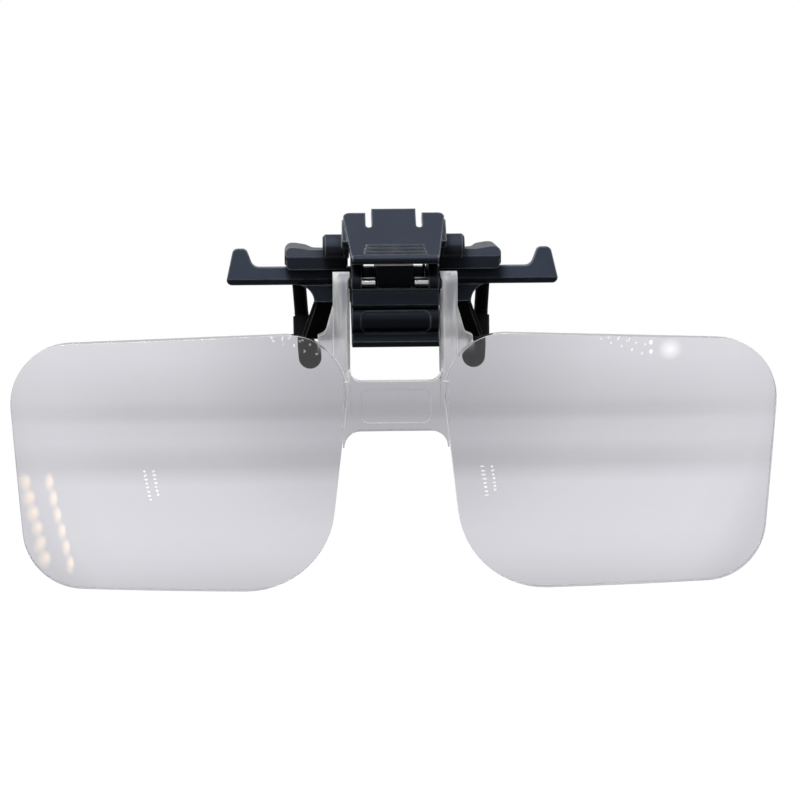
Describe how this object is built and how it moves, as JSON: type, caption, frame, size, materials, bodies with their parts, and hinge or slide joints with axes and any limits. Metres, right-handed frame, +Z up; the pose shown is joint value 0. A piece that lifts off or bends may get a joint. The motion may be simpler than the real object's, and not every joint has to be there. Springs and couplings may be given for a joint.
{
  "type": "clip-on hat magnifier",
  "caption": "Twin rectangular magnifying lens that flips on a sprung thumb-lever clip for the brim of a cap.",
  "frame": {"origin": "middle of the brim slot between the front grip pads and the rear legs, level with the slot's closed end, on the mirror plane", "axes": "+X across both lenses, +Y from the lenses back to the clip's legs, +Z up to the thumb lever with the lens folded flat against the clip"},
  "size_m": [0.1394, 0.0242, 0.0692],
  "materials": {
    "moulded_plastic": "satin",
    "black_plastic": "satin",
    "steel": "bright",
    "rubber": "matt",
    "clear_acrylic": "polished"
  },
  "bodies": {
    "frame_body": {"hinge_block": "moulded_plastic", "brim_bar": "moulded_plastic", "bar_screws": "steel", "grip_pad_left": "black_plastic", "grip_pad_right": "black_plastic", "pivot_pin": "steel", "lens_pin_left": "steel", "lens_pin_right": "steel", "torsion_spring_left": "steel", "torsion_spring_right": "steel"},
    "jaw_body": {"thumb_lever": "moulded_plastic", "leg_left": "black_plastic", "leg_right": "black_plastic", "tip_left": "rubber", "tip_right": "rubber"},
    "lens_body": {"twin_lens": "clear_acrylic", "friction_washer_left": "black_plastic", "friction_washer_right": "black_plastic"}
  },
  "joints": [
    {"name": "lever_squeeze", "type": "hinge", "parent": "frame_body", "child": "jaw_body", "pos_m": [0, -0.00855, 0.00395], "axis": [1, 0, 0], "range_deg": [0, 12], "stiffness_Nm_per_rad": 0.1, "springref_deg": -34.38, "deforming": ["torsion_spring_left", "torsion_spring_right"]},
    {"name": "lens_flip", "type": "hinge", "parent": "frame_body", "child": "lens_body", "pos_m": [0, -0.01355, -0.00235], "axis": [-1, 0, 0], "range_deg": [0, 100]}
  ]
}
